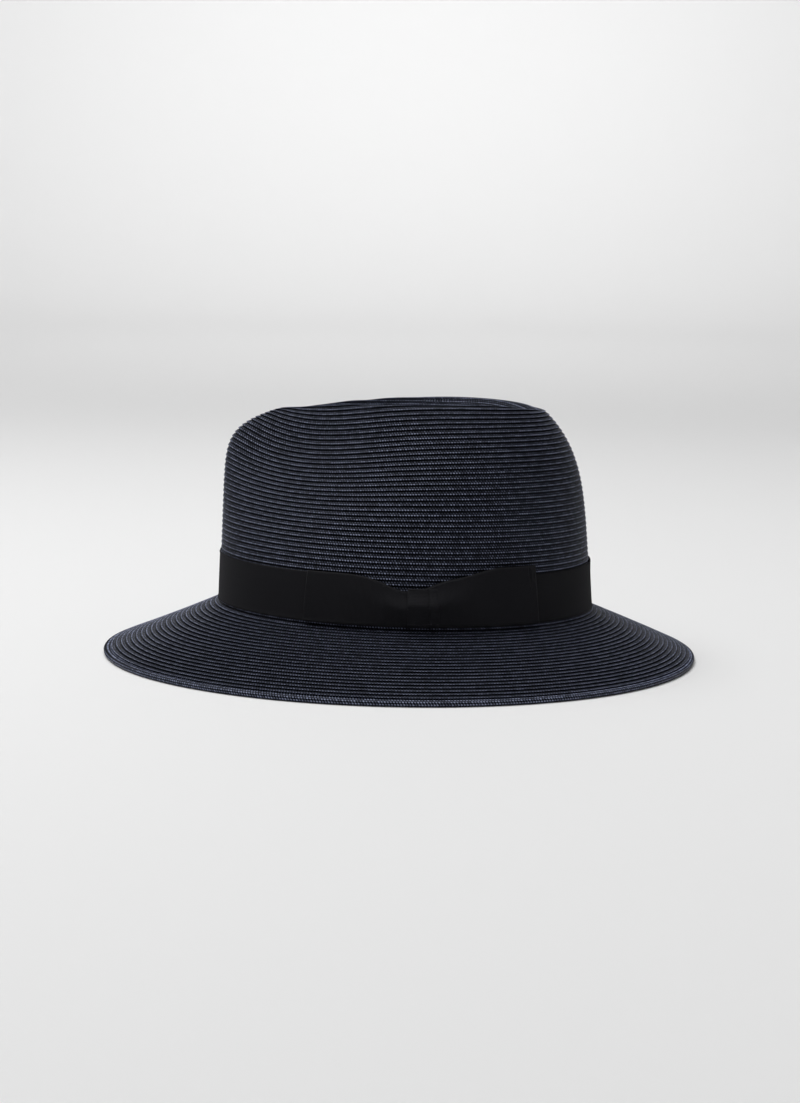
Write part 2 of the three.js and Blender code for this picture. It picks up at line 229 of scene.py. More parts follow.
    def at(self, s, angle, n):
        """Points in metres at s, angle and n, arrays of one shape."""
        s, angle, n = np.broadcast_arrays(np.asarray(s, float), angle, n)
        column = np.clip(s / self.STEP, 0, self.place.shape[1] - 1.001)
        j = column.astype(int)
        v = (column - j)[..., None]
        row = (angle / TAU * self.ANGLES) % self.ANGLES
        i = row.astype(int) % self.ANGLES
        u = (row - np.floor(row))[..., None]
        k = (i + 1) % self.ANGLES

        def mixed(net):
            upper = net[i, j] * (1 - u) + net[k, j] * u
            lower = net[i, j + 1] * (1 - u) + net[k, j + 1] * u
            return upper * (1 - v) + lower * v

        return (mixed(self.place) + mixed(self.normal) * n[..., None]) * MM


FORM = HatForm()


# ---- Patterns to meshes -------------------------------------------------------------------
def laid_grid(name, points, uv, close_rows=False, close_columns=False, thickness=0.0):
    """A mesh from a grid pattern whose corners lie at points[i, j], with a UV map.

    close_rows joins the first and last row into a tube, close_columns the first and last
    column into a ring. An open tube is capped, and a sheet is given its thickness.
    """
    columns, rows = points.shape[:2]
    bm = bmesh.new()
    bmesh.ops.create_grid(bm, x_segments=columns - 1, y_segments=rows - 1, size=0.5)
    mesh = bpy.data.meshes.new(name)
    bm.to_mesh(mesh)
    corner = np.empty(len(mesh.vertices) * 3)
    mesh.vertices.foreach_get("co", corner)
    corner = corner.reshape(-1, 3) + 0.5
    i = np.rint(corner[:, 0] * (columns - 1)).astype(int)
    j = np.rint(corner[:, 1] * (rows - 1)).astype(int)
    mesh.vertices.foreach_set("co", points[i, j].ravel())
    used = np.empty(len(mesh.loops), dtype=np.int32)
    mesh.loops.foreach_get("vertex_index", used)
    layer = mesh.uv_layers.new(name="Pattern")
    layer.data.foreach_set("uv", uv[i[used], j[used]].ravel())
    bm.clear()
    bm.from_mesh(mesh)
    if close_rows or close_columns:
        bmesh.ops.remove_doubles(bm, verts=bm.verts, dist=1e-7)
    if close_rows and not close_columns:
        rim = [edge for edge in bm.edges if edge.is_boundary]
        bmesh.ops.holes_fill(bm, edges=rim, sides=0)
    if thickness:
        bmesh.ops.solidify(bm, geom=bm.faces[:], thickness=thickness * MM)
    bmesh.ops.recalc_face_normals(bm, faces=bm.faces)
    bm.to_mesh(mesh)
    bm.free()
    mesh.shade_smooth()
    return mesh


def add_piece(name, mesh, material, slot, *stands_for):
    piece = bpy.data.objects.new(name, mesh)
    bpy.context.scene.collection.objects.link(piece)
    mesh.materials.clear()
    mesh.materials.append(material)
    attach(piece, "root")
    if stands_for:
        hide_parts(*stands_for)
    return piece


# ---- Braid --------------------------------------------------------------------------------
LAST_TURN = (S_RIM - LAST_ROW_IN) / PITCH
LAST_ANGLE = math.radians(150)     # the braid ends behind the wearer's right
FIRST_TURN = 0.35
CELL = 0.23                        # share of the braid's width from one row of plaits to the next
LIP_CELL = 0.91
# Places across the braid, from its hidden edge to its lip, then back along its inside.
OUTSIDE = (0.02, 0.45, 0.565, 0.68, 0.795, 0.91, 0.985)
INSIDE = (0.95, 0.5, 0.345, 0.22, 0.04)


def spiral_angle(turn):
    return LAST_ANGLE + TAU * (turn - LAST_TURN)


def spiral_run(first, last):
    """Turns and the braid's length at fine steps from one turn to another."""
    turn = np.linspace(first, last, int((last - first) * 360) + 2)
    lip = FORM.at(turn * PITCH, spiral_angle(turn), 0.0) / MM
    step = np.linalg.norm(np.diff(lip, axis=0), axis=1)
    return turn, np.concatenate([[0.0], np.cumsum(step)])


def braid_section():
    """Across and depth of the section's points: share of width, and n of the plain braid."""
    across = np.array(OUTSIDE + INSIDE + OUTSIDE[:1])
    outer = np.array([1] * len(OUTSIDE) + [0] * len(INSIDE) + [1])
    middle = -(WALL - BRAID_THICK) * (1 - across)
    return across, outer, middle - BRAID_THICK * (1 - outer)


def braid_zone(name, first, last, plait, relief):
    """One stretch of the spiral braid, its plaits standing out by relief."""
    turns, length = spiral_run(FIRST_TURN, LAST_TURN)
    ends = np.interp([first, last], turns, length)
    half = plait / 2
    count = np.arange(math.floor(ends[0] / half), math.floor(ends[1] / half) + 1)
    turn = np.interp(count * half, length, turns)[:, None]
    across, outer, depth = braid_section()
    swing = np.cos(math.pi * count)[:, None]
    cell = np.cos(math.pi * (across - LIP_CELL) / CELL)[None, :]
    side = np.where(outer > 0, 1.0, -1.0)[None, :]
    n = depth[None, :] + side * relief * swing * cell
    lip = smoothstep(across, 0.8, 0.98)[None, :]
    s = PITCH * turn - BRAID_WIDTH * (1 - across)[None, :] + relief * swing * lip
    tuck = smoothstep(turn, LAST_TURN - 0.05, LAST_TURN)
    n = n - tuck * BRAID_THICK
    points = FORM.at(np.maximum(s, 0.0), spiral_angle(turn), n)
    u = np.broadcast_to((count / 2.0)[:, None], s.shape)
    # The lip shows on the outside, and the other edge on the inside.
    from_shown_edge = np.where(outer > 0, across - LIP_CELL, INSIDE[-1] - across)
    v = np.broadcast_to((from_shown_edge / CELL)[None, :], s.shape)
    return laid_grid(name, points, np.stack([u, v], axis=-1), close_rows=True)


def edge_ring(name, plait, relief):
    """The last row, a closed ring of braid folded over the wire, its sole flat on the floor."""
    # Inwards from the rim and out from the form, round the folded braid.
    fold = (
        (7.6, -1.75), (5.6, -1.2), (4.4, -1.0), (3.3, -0.75), (2.45, -0.5), (1.6, -0.3), (0.8, -0.35),
        (0.25, -0.8), (0.0, -1.6), (0.15, -2.4), (0.8, -3.2), (1.7, -3.5), (2.6, -3.55), (3.7, -3.6),
        (4.6, -3.4), (4.6, -2.75), (2.6, -2.8), (1.1, -2.5), (0.75, -1.7), (1.2, -1.0), (3.2, -1.5),
        (5.4, -2.0), (7.6, -2.4), (7.6, -1.75),
    )
    inward, depth = np.array(fold).T
    outer = 15  # the places from here on are the fold's inside
    sole_first, sole_last, sole_height = 10, 12, 0.35 * MM
    angle = np.linspace(0.0, TAU, 1441)
    rim = FORM.at(S_RIM, angle, 0.0) / MM
    length = np.concatenate([[0.0], np.cumsum(np.linalg.norm(np.diff(rim, axis=0), axis=1))])
    plaits = round(length[-1] / plait)
    count = np.arange(2 * plaits + 1)
    place = np.interp(count / (2.0 * plaits), length / length[-1], angle)[:, None]
    swing = np.cos(math.pi * count)[:, None]
    row = np.arange(len(fold))[None, :]
    cell = np.cos(math.pi * row) * (row < outer) * (row > 1)
    s = np.broadcast_to(S_RIM - inward[None, :], (len(count), len(fold)))
    n = depth[None, :] + relief * swing * cell
    points = FORM.at(s, place, n)
    sole = (row >= sole_first) & (row <= sole_last)
    points[..., 2] = np.where(sole, np.minimum(points[..., 2], sole_height), points[..., 2])
    points[..., 2] = np.maximum(points[..., 2], 0.0)
    u = np.broadcast_to((count / 2.0)[:, None], s.shape)
    v = np.broadcast_to(row / 2.0, s.shape)
    return laid_grid(name, points, np.stack([u, v], axis=-1), close_rows=True, close_columns=True)


# ---- Ribbon and bow -----------------------------------------------------------------------
BAND_WIDTH = 26.0
BAND_FOOT = 0.5
BAND_BOTTOM = S_BREAK - BAND_FOOT
BAND_TOP = BAND_BOTTOM - BAND_WIDTH
BAND_IN = 0.2
RIBBON_THICK = 0.45
BOW_CENTRE = 0.084
BOW_REACH = {"front": 64.5, "rear": 67.5}
BOW_FLARE = {"front": 0.8, "rear": 5.0}
BOW_GATHER = 7.4
BOW_GATHER_CENTRE = -7.0  # deepest in front of the knot
BOW_GATHER_SPREAD = 16.0
KNOT_HALF = 8.0
SIDE_ARC = 106.0                   # mm of crown per radian beside the bow


def gathered_top(along):
    return BAND_TOP + BOW_GATHER * bell(along - BOW_GATHER_CENTRE, BOW_GATHER_SPREAD)


def beside_bow(along):
    return BOW_CENTRE + along / SIDE_ARC


def ribbon_band(rib, relief):
    """The band, ribbed across its width, its ends meeting under the knot."""
    around = SIDE_ARC * TAU
    gap = 0.4
    ribs = round((around - 2 * gap) / rib)
    count = np.arange(4 * ribs + 1)[:, None]
    along = gap + (around - 2 * gap) * count / (4.0 * ribs)
    from_knot = np.where(along < around / 2, along, along - around)
    # Places down the ribbon's section and back up behind it; face is 1 on the outside.
    down = np.array([
        0.0, 0.0, 0.03, 0.1, 0.25, 0.4, 0.55, 0.7, 0.85, 0.95, 1.0, 1.0, 0.75, 0.5, 0.25, 0.0,
    ])[None, :]
    face = np.array([0.5, 1, 1, 1, 1, 1, 1, 1, 1, 1, 1, 0, 0, 0, 0, 0.5])[None, :]
    top = gathered_top(from_knot)
    s = top + (BAND_BOTTOM - top) * down
    angle = beside_bow(along)
    from_back = np.angle(np.exp(1j * (angle - BACK)))
    slack = 0.35 * bell(from_back, 0.5) * (1 - smoothstep(down, 0.0, 0.3))
    wave = 0.1 * np.sin(5 * angle + 3 * down) + 0.08 * np.sin(11 * angle + 1.0)
    n = BAND_IN + wave * (1 - down) + slack + RIBBON_THICK * face
    n = n + relief * np.cos(count * math.pi / 2) * np.where(face > 0.4, 1.0, 0.0)
    points = FORM.at(s, angle, n)
    u = np.broadcast_to(along / rib, s.shape)
    v = np.broadcast_to(down * BAND_WIDTH / rib, s.shape)
    return laid_grid("ribbon", points, np.stack([u, v], axis=-1), close_rows=True)


def crest_height(along, down):
    """How far a loop stands off the band: a fold that runs out and up from the knot."""
    ridge = 0.46 - 0.2 * smoothstep(along, 18, 48)
    width = 0.3 + 0.25 * smoothstep(along, 8, 45)
    swell = 3.4 * bell(np.maximum(along - 7.0, 0.0), 24.0)
    across = np.where(down < ridge, (ridge - down) / width * 1.15, (down - ridge) / width)
    return swell * np.exp(-np.abs(across) ** 1.7)


def bow_loop(end, rib, relief):
    """One loop: a ribbon led out from the knot, folded over at its end and led back under."""
    side = 1 if end == "rear" else -1
    across = np.linspace(0.0, 1.0, 25)[None, :]
    step = rib / 4
    reach = BOW_REACH[end]
    out = np.arange(2.0, reach, step)
    fold = np.linspace(-math.pi / 2, math.pi / 2, 9)[1:-1]
    lower = BAND_IN + RIBBON_THICK + 0.35
    rest = lower + 1.5
    half = (rest - lower) / 2
    along = np.concatenate([out, reach + half * np.cos(fold), out[::-1]])[:, None]
    share = np.concatenate([np.ones(len(out)), (1 - np.sin(fold)) / 2, np.zeros(len(out))])[:, None]
    upper = rest + crest_height(along, across)
    low = lower + 0.6 * crest_height(along, across)
    tip = smoothstep(along, reach - 6, reach)
    flare = BOW_FLARE[end] * smoothstep(along, 14, 46)
    n = low + (upper - low) * share
    count = np.arange(len(along))[:, None]
    n = n + relief * np.cos(count * math.pi / 2) * (0.5 + share / 2)
    top = gathered_top(side * along) + 0.4 - flare
    s = top + (BAND_BOTTOM + 0.6 - top) * across
    lean = -1.4 * (1 - across) ** 2 * tip * share
    points = FORM.at(s, beside_bow(side * (along + lean)), n)
    u = np.broadcast_to(count / 4.0, s.shape)
    v = np.broadcast_to(across * BAND_WIDTH / rib, s.shape)
    return laid_grid("bow_" + end, points, np.stack([u, v], axis=-1), thickness=RIBBON_THICK)


def knot_wrap(name, first, last, proud, rib, relief):
    """A wrap of ribbon over the loops, its ribs running across the hat, tucked in at both ends."""
    across = np.linspace(first, last, 13)[:, None]
    middle = (first + last) / 2
    half = (last - first) / 2
    steps, past_edge = 120, 0.06
    count = np.arange(steps + 1)[None, :]
    down = (1 + 2 * past_edge) * count / steps - past_edge
    top = gathered_top(0.0) + 0.3
    s = top + (BAND_BOTTOM + 0.5 - top) * np.clip(down, 0.0, 1.0)
    crest = 3.6 * np.exp(-np.abs((down - 0.42) / np.where(down < 0.42, 0.27, 0.36)) ** 1.5)
    tuck = smoothstep(np.abs(down - 0.5), 0.5, 0.56)
    n = proud + 1.7 + crest - 2.2 * tuck
    n = n - 0.5 * np.abs((across - middle) / half) ** 4 + relief * np.cos(count * math.pi / 2)
    points = FORM.at(np.broadcast_to(s, n.shape), beside_bow(np.broadcast_to(across, n.shape)), n)
    u = np.broadcast_to(count / 4.0, n.shape)
    v = np.broadcast_to(across / rib, n.shape)
    return laid_grid(name, points, np.stack([u, v], axis=-1), thickness=RIBBON_THICK)


THREAD_HALF = 0.28                 # half the thread's thickness


def thread_bars(name, places):
    """Short bars of thread, lying round the hat; each place is (s, angle, n, length)."""
    bm = bmesh.new()
    for s, angle, n, length in places:
        here = FORM.at(s, angle, n)
        run = FORM.at(s, angle + 0.005, n) - FORM.at(s, angle - 0.005, n)
        turn = Vector(run).to_track_quat("X", "Z").to_matrix().to_4x4()
        size = Matrix.Diagonal((length / 2 * MM, THREAD_HALF * MM, THREAD_HALF * MM, 1.0))
        place = Matrix.Translation(here) @ turn @ size @ Matrix.Rotation(BACK, 4, "Y")
        bmesh.ops.create_uvsphere(bm, u_segments=6, v_segments=5, radius=1.0, matrix=place)
    mesh = bpy.data.meshes.new(name)
    bm.to_mesh(mesh)
    bm.free()
    mesh.shade_smooth()
    return mesh


# ---- Inside the crown ---------------------------------------------------------------------
SWEAT_WIDTH = 31.0
SWEAT_BOTTOM = S_BREAK - 1.0
SWEAT_TOP = SWEAT_BOTTOM - SWEAT_WIDTH
SWEAT_OUT = -WALL - 0.35
SWEAT_THICK = 0.9


def inside_strip(name, first, last, top, bottom, outside, thick, columns, rows=9, wave=0.0):
    """A strip of cloth inside the crown, with rounded edges, from one angle to another."""
    side = np.linspace(0.0, 1.0, rows)
    down = np.concatenate([side, side[::-1], side[:1]])[None, :]
    face = np.concatenate([np.ones(rows), np.zeros(rows), [1.0]])[None, :]
    u = np.linspace(0.0, 1.0, columns)[:, None]
    angle = first + (last - first) * u
    pinch = 0.5 * (1 - smoothstep(0.5 - np.abs(down - 0.5), 0.0, 0.05))
    level = face + (0.5 - face) * pinch * 2
    ripple = wave * np.sin(9 * angle + 2 * down) * (1 - down)
    n = outside - thick * level - np.abs(ripple)
    s = top + (bottom - top) * down
    points = FORM.at(s, angle, n)
    along = (last - first) * HEAD_RADIUS * u
    uv = np.stack([np.broadcast_to(along, n.shape), np.broadcast_to(s, n.shape)], axis=-1)
    return laid_grid(name, points, uv, close_rows=True)


# ---- Shader groups and materials ----------------------------------------------------------
def new_group(name, inputs, outputs):
    """An empty shader node group with named float, colour or vector sockets."""
    group = bpy.data.node_groups.new(name, "ShaderNodeTree")
    kinds = {"f": "NodeSocketFloat", "c": "NodeSocketColor", "v": "NodeSocketVector"}
    for label, kind, value in inputs:
        socket = group.interface.new_socket(label, in_out="INPUT", socket_type=kinds[kind])
        if value is not None:
            socket.default_value = value
    for label, kind in outputs:
        group.interface.new_socket(label, in_out="OUTPUT", socket_type=kinds[kind])
    return group, group.nodes.new("NodeGroupInput"), group.nodes.new("NodeGroupOutput")


def math_node(tree, operation, *values):
    """A Math node; each value is a number or another node's output."""
    node = tree.nodes.new("ShaderNodeMath")
    node.operation = operation
    for socket, value in zip(node.inputs, values):
        if isinstance(value, (int, float)):
            socket.default_value = value
        else:
            tree.links.new(value, socket)
    return node.outputs[0]


def mix_colour(tree, share, first, second):
    node = tree.nodes.new("ShaderNodeMix")
    node.data_type = "RGBA"
    for index, value in ((0, share), (6, first), (7, second)):
        if isinstance(value, (int, float, tuple)):
            node.inputs[index].default_value = value
        else:
            tree.links.new(value, node.inputs[index])
    return node.outputs[2]


def plait_group():
    """Straw plaits in a brick pattern: how high and how fibrous, and their tone: a painted highlight on each
    strand's top, painted shade between the strands and under the row above, and a random tone per strand.
    """
    tree, into, out = new_group(
        "Plait Weave",
        [("Pattern", "v", None), ("Strand Contrast", "f", 0.5), ("Lean", "f", -0.4)],
        [("Height", "f"), ("Painted Light And Tone", "f"), ("Fibre", "f")],
    )
    split = tree.nodes.new("ShaderNodeSeparateXYZ")
    tree.links.new(into.outputs["Pattern"], split.inputs[0])
    u, v = split.outputs[0], split.outputs[1]
    row = math_node(tree, "ROUND", v)
    odd = math_node(tree, "ABSOLUTE", math_node(tree, "MODULO", row, 2.0))
    shifted = math_node(tree, "SUBTRACT", u, math_node(tree, "MULTIPLY", odd, 0.5))
    column = math_node(tree, "ROUND", shifted)
    du = math_node(tree, "SUBTRACT", shifted, column)
    dv = math_node(tree, "SUBTRACT", v, row)
    leaning = math_node(tree, "ADD", du, math_node(tree, "MULTIPLY", dv, into.outputs["Lean"]))
    pillow_u = math_node(tree, "COSINE", math_node(tree, "MULTIPLY", leaning, math.pi))
    pillow_v = math_node(tree, "COSINE", math_node(tree, "MULTIPLY", dv, math.pi))
    dome = math_node(tree, "MULTIPLY", math_node(tree, "MAXIMUM", pillow_u, 0.0),
                     math_node(tree, "MAXIMUM", pillow_v, 0.0))
    pillow = math_node(tree, "POWER", dome, 0.6)
    # Painted shadow: the braid darkens from its lip towards the edge tucked under the row above.
    painted_lip_shadow = ramp(tree, v, -2.4, 0.0, 0.12, 1.0)
    slant = math_node(tree, "SUBTRACT", math_node(tree, "MULTIPLY", odd, 2.0), 1.0)
    slanted = math_node(tree, "MULTIPLY", math_node(tree, "MULTIPLY", du, slant), 0.8)
    across = math_node(tree, "ADD", dv, slanted)
    cell = tree.nodes.new("ShaderNodeCombineXYZ")
    tree.links.new(column, cell.inputs[0])
    tree.links.new(row, cell.inputs[1])
    noise = tree.nodes.new("ShaderNodeTexWhiteNoise")
    noise.noise_dimensions = "2D"
    tree.links.new(cell.outputs[0], noise.inputs["Vector"])
    grain_at = tree.nodes.new("ShaderNodeCombineXYZ")
    tree.links.new(math_node(tree, "MULTIPLY", across, 9.0), grain_at.inputs[0])
    tree.links.new(math_node(tree, "MULTIPLY", column, 3.7), grain_at.inputs[1])
    tree.links.new(math_node(tree, "MULTIPLY", du, 0.8), grain_at.inputs[2])
    grain = tree.nodes.new("ShaderNodeTexNoise")
    grain.inputs["Scale"].default_value = 1.0
    grain.inputs["Detail"].default_value = 2.0
    tree.links.new(grain_at.outputs[0], grain.inputs["Vector"])
    spread = math_node(tree, "MULTIPLY", math_node(tree, "SUBTRACT", noise.outputs["Value"], 0.5),
                       into.outputs["Strand Contrast"])
    # Painted highlight on each strand's dome, times a random tone per strand, times the painted shadow under
    # the row above.
    lit = math_node(tree, "MULTIPLY", dome, math_node(tree, "ADD", spread, 1.0))
    painted_light_and_tone = math_node(tree, "MULTIPLY", lit, painted_lip_shadow)
    tree.links.new(math_node(tree, "ADD", pillow, math_node(tree, "MULTIPLY", grain.outputs[0], 0.25)),
                    out.inputs["Height"])
    tree.links.new(painted_light_and_tone, out.inputs["Painted Light And Tone"])
    tree.links.new(grain.outputs[0], out.inputs["Fibre"])
    return tree


def rib_group():
    """Ribs along V of a pattern, with a fine woven grain and slow unevenness; the tone paints light on the
    rib tops and shade in the grooves, and the slow unevenness is the cloth's own uneven tone.
    """
    tree, into, out = new_group(
        "Ribbed Weave",
        [("Pattern", "v", None), ("Grain", "f", 3.0)],
        [("Height", "f"), ("Painted Light And Tone", "f")],
    )
    split = tree.nodes.new("ShaderNodeSeparateXYZ")
    tree.links.new(into.outputs["Pattern"], split.inputs[0])
    u, v = split.outputs[0], split.outputs[1]
    rib = math_node(tree, "COSINE", math_node(tree, "MULTIPLY", u, TAU))
    picks = math_node(tree, "MULTIPLY", v, into.outputs["Grain"])
    pick = math_node(tree, "COSINE", math_node(tree, "MULTIPLY", picks, TAU))
    noise = tree.nodes.new("ShaderNodeTexNoise")
    noise.inputs["Scale"].default_value = 1.7
    noise.inputs["Detail"].default_value = 4.0
    tree.links.new(into.outputs["Pattern"], noise.inputs["Vector"])
    weave = math_node(tree, "ADD", math_node(tree, "MULTIPLY", rib, 0.5),
                      math_node(tree, "MULTIPLY", pick, 0.2))
    tree.links.new(math_node(tree, "ADD", weave, math_node(tree, "MULTIPLY", noise.outputs[0], 0.4)),
                    out.inputs["Height"])
    # Tone: lighter rib tops and darker grooves are painted light and shade; the slow noise is the cloth's
    # uneven tone.
    tree.links.new(math_node(tree, "ADD", math_node(tree, "MULTIPLY", rib, 0.2), noise.outputs[0]),
                    out.inputs["Painted Light And Tone"])
    return tree


def blank_material(name):
    material = bpy.data.materials.new(name)
    material.use_nodes = True
    tree = material.node_tree
    return material, tree, tree.nodes["Principled BSDF"]


def pattern_coordinates(tree):
    node = tree.nodes.new("ShaderNodeUVMap")
    node.uv_map = "Pattern"
    return node.outputs[0]


def place_group(tree, group, pattern, **values):
    node = tree.nodes.new("ShaderNodeGroup")
    node.node_tree = group
    tree.links.new(pattern, node.inputs["Pattern"])
    for label, value in values.items():
        node.inputs[label.replace("_", " ")].default_value = value
    return node


def bump(tree, height, shader, distance):
    node = tree.nodes.new("ShaderNodeBump")
    node.inputs["Strength"].default_value = 1.0
    node.inputs["Distance"].default_value = distance
    tree.links.new(height, node.inputs["Height"])
    tree.links.new(node.outputs[0], shader.inputs["Normal"])


def ramp(tree, value, low, high, first, second):
    """Runs a value from first to second as it goes from low to high."""
    node = tree.nodes.new("ShaderNodeMapRange")
    node.inputs["From Min"].default_value = low
    node.inputs["From Max"].default_value = high
    node.inputs["To Min"].default_value = first
    node.inputs["To Max"].default_value = second
    tree.links.new(value, node.inputs["Value"])
    return node.outputs[0]


def braid_material(dark, light):
    material, tree, shader = blank_material("Navy paper braid")
    plait = place_group(tree, plait_group(), pattern_coordinates(tree), Strand_Contrast=0.5)
    # Base colour runs from dark to light with the tone: painted shade between the strands and under the row
    # above, a painted highlight on the strand tops, and a random tone per strand.
    share = math_node(tree, "POWER", ramp(tree, plait.outputs["Painted Light And Tone"], 0.0, 1.0, 0.0, 1.0), 2.6)
    colour = mix_colour(tree, share, tuple(dark), tuple(light))
    tree.links.new(colour, shader.inputs["Base Color"])
    tree.links.new(ramp(tree, plait.outputs["Fibre"], 0.3, 0.7, 0.34, 0.5), shader.inputs["Roughness"])
    shader.inputs["Specular IOR Level"].default_value = 0.1
    shader.inputs["Specular Tint"].default_value = (0.8, 0.86, 1.0, 1.0)
    bump(tree, plait.outputs["Height"], shader, 0.2 * MM)
    return material


def ribbon_material(dark, light):
    material, tree, shader = blank_material("Black grosgrain")
    rib = place_group(tree, rib_group(), pattern_coordinates(tree), Grain=2.0)
    # Base colour: painted shade in the grooves between ribs, a painted highlight on the rib tops, with uneven
    # tone from the slow noise.
    share = ramp(tree, rib.outputs["Painted Light And Tone"], 0.2, 0.8, 0.0, 1.0)
    tree.links.new(mix_colour(tree, share, tuple(dark), tuple(light)), shader.inputs["Base Color"])
    shader.inputs["Roughness"].default_value = 0.72
    shader.inputs["Specular IOR Level"].default_value = 0.14
    shader.inputs["Sheen Weight"].default_value = 0.06
    shader.inputs["Sheen Roughness"].default_value = 0.4
    shader.inputs["Sheen Tint"].default_value = (0.35, 0.33, 0.38, 1.0)
    bump(tree, rib.outputs["Height"], shader, 0.05 * MM)
    return material


def twill_material(dark, light):
    """Diagonal twill for the sweatband: the same ribs, turned across a strip's pattern."""
    material, tree, shader = blank_material("Black cotton twill")
    turn = tree.nodes.new("ShaderNodeMapping")
    turn.inputs["Rotation"].default_value = (0.0, 0.0, math.radians(63))
    turn.inputs["Scale"].default_value = (1.5, 1.5, 1.0)
    tree.links.new(pattern_coordinates(tree), turn.inputs["Vector"])
    rib = place_group(tree, rib_group(), turn.outputs[0], Grain=1.6)
    # Base colour: painted shade in the twill's grooves, a painted highlight on its ridges, with uneven tone
    # from the slow noise.
    share = ramp(tree, rib.outputs["Painted Light And Tone"], 0.2, 0.8, 0.0, 1.0)
    tree.links.new(mix_colour(tree, share, tuple(dark), tuple(light)), shader.inputs["Base Color"])
    shader.inputs["Roughness"].default_value = 0.85
    shader.inputs["Specular IOR Level"].default_value = 0.2
    bump(tree, rib.outputs["Height"], shader, 0.06 * MM)
    return material


def satin_material(colour):
    material, tree, shader = blank_material("Blank label satin")
    rib = place_group(tree, rib_group(), pattern_coordinates(tree), Grain=4.0)
    share = ramp(tree, rib.outputs["Painted Light And Tone"], 0.2, 0.8, 0.0, 1.0)
    # The label is 0.8 as bright in the grooves between ribs: painted shade there and a painted highlight on
    # the rib tops, with uneven tone from the slow noise.
    shade = tuple(0.8 * part for part in colour[:3]) + (1.0,)
    tree.links.new(mix_colour(tree, share, shade, tuple(colour)), shader.inputs["Base Color"])
    shader.inputs["Roughness"].default_value = 0.5
    bump(tree, rib.outputs["Height"], shader, 0.03 * MM)
    return material


def thread_material(colour):
    """Sewing thread, twisted from fine plies."""
    material, tree, shader = blank_material("Black sewing thread")
    place = tree.nodes.new("ShaderNodeTexCoord")
    wave = tree.nodes.new("ShaderNodeTexNoise")
    wave.inputs["Scale"].default_value = 1500.0
    tree.links.new(place.outputs["Object"], wave.inputs["Vector"])
    shade = tuple(0.5 * part for part in colour[:3]) + (1.0,)
    tree.links.new(mix_colour(tree, wave.outputs[0], shade, tuple(colour)), shader.inputs["Base Color"])
    shader.inputs["Roughness"].default_value = 0.6
    bump(tree, wave.outputs[0], shader, 0.08 * MM)
    return material


def wire_material():
    """Drawn spring wire, faintly scratched."""
    material, tree, shader = blank_material("Spring wire")
    place = tree.nodes.new("ShaderNodeTexCoord")
    scratch = tree.nodes.new("ShaderNodeTexNoise")
    scratch.inputs["Scale"].default_value = 900.0
    tree.links.new(place.outputs["Object"], scratch.inputs["Vector"])
    shader.inputs["Metallic"].default_value = 1.0
    shade = mix_colour(tree, scratch.outputs[0], (0.32, 0.32, 0.34, 1.0), (0.55, 0.55, 0.57, 1.0))
    tree.links.new(shade, shader.inputs["Base Color"])
    tree.links.new(ramp(tree, scratch.outputs[0], 0.3, 0.7, 0.22, 0.42), shader.inputs["Roughness"])
    return material


def floor_material(colour):
    material, tree, shader = blank_material("Pale floor")
    shader.inputs["Base Color"].default_value = tuple(colour)
    shader.inputs["Roughness"].default_value = 0.9
    shader.inputs["Specular IOR Level"].default_value = 0.1
    return material


# ---- What a user may change ---------------------------------------------------------------
def colour_property(name, description, default):
    return bpy.props.FloatVectorProperty(
        name=name, description=description, default=default, size=4, min=0.0, max=1.0, subtype="COLOR")


def length_property(name, description, default, low, high):
    return bpy.props.FloatProperty(
        name=name, description=description, default=default, min=low, max=high, unit="LENGTH", precision=5)


class FedoraBraidSettings(bpy.types.PropertyGroup):
    plait: length_property("Plait", "Length of one plait along the braid's lip", PLAIT * MM, 0.0012, 0.004)
    relief: length_property("Relief", "How far each plait stands out", 0.155 * MM, 0.0, 0.0003)
    # Dark is the painted shade between the strands; Light is the painted highlight on the strand tops.
    dark: colour_property("Dark", "Colour between the strands", (0.0010, 0.0013, 0.0030, 1.0))
    light: colour_property("Light", "Colour on top of the strands", (0.270, 0.300, 0.430, 1.0))


class FedoraRibbonSettings(bpy.types.PropertyGroup):
    rib: length_property("Rib", "Width of one rib of the grosgrain", 0.66 * MM, 0.0004, 0.002)
    relief: length_property("Relief", "How far each rib stands out", 0.04 * MM, 0.0, 0.0002)
    # Dark is painted shade in the grooves between the ribs; Light is a painted highlight on the rib tops.
    dark: colour_property("Dark", "Colour between the ribs", (0.003, 0.003, 0.004, 1.0))
    light: colour_property("Light", "Colour on top of the ribs", (0.009, 0.009, 0.012, 1.0))


class FedoraInsideSettings(bpy.types.PropertyGroup):
    # Twill dark is painted shade in the twill's grooves; twill light is a painted highlight on its ridges.
    twill_dark: colour_property("Twill dark", "Colour in the twill's grooves", (0.006, 0.006, 0.009, 1.0))
    twill_light: colour_property("Twill light", "Colour on the twill's ridges", (0.022, 0.022, 0.028, 1.0))
    label: colour_property("Label", "Colour of the blank label", (0.60, 0.58, 0.53, 1.0))
    thread: colour_property("Thread", "Colour of the sewing thread", (0.02, 0.02, 0.024, 1.0))


class FedoraStageSettings(bpy.types.PropertyGroup):
    distance: length_property("Camera distance", "From the camera to the point it looks at", 1.271, 0.3, 5.0)
    elevation: bpy.props.FloatProperty(
        name="Elevation", description="Camera's height angle", default=math.radians(8.47), subtype="ANGLE")
    roll: bpy.props.FloatProperty(
        name="Roll", description="Camera's turn about its view", default=math.radians(0.906), subtype="ANGLE")
    lens: bpy.props.FloatProperty(
        name="Lens", description="Focal length on a 36 mm wide sensor", default=104.2, unit="CAMERA")
    light: bpy.props.FloatProperty(name="Light", description="Strength of the lights", default=1.0, min=0.0)
    floor: colour_property("Floor", "Colour of the floor", (0.82, 0.82, 0.82, 1.0))


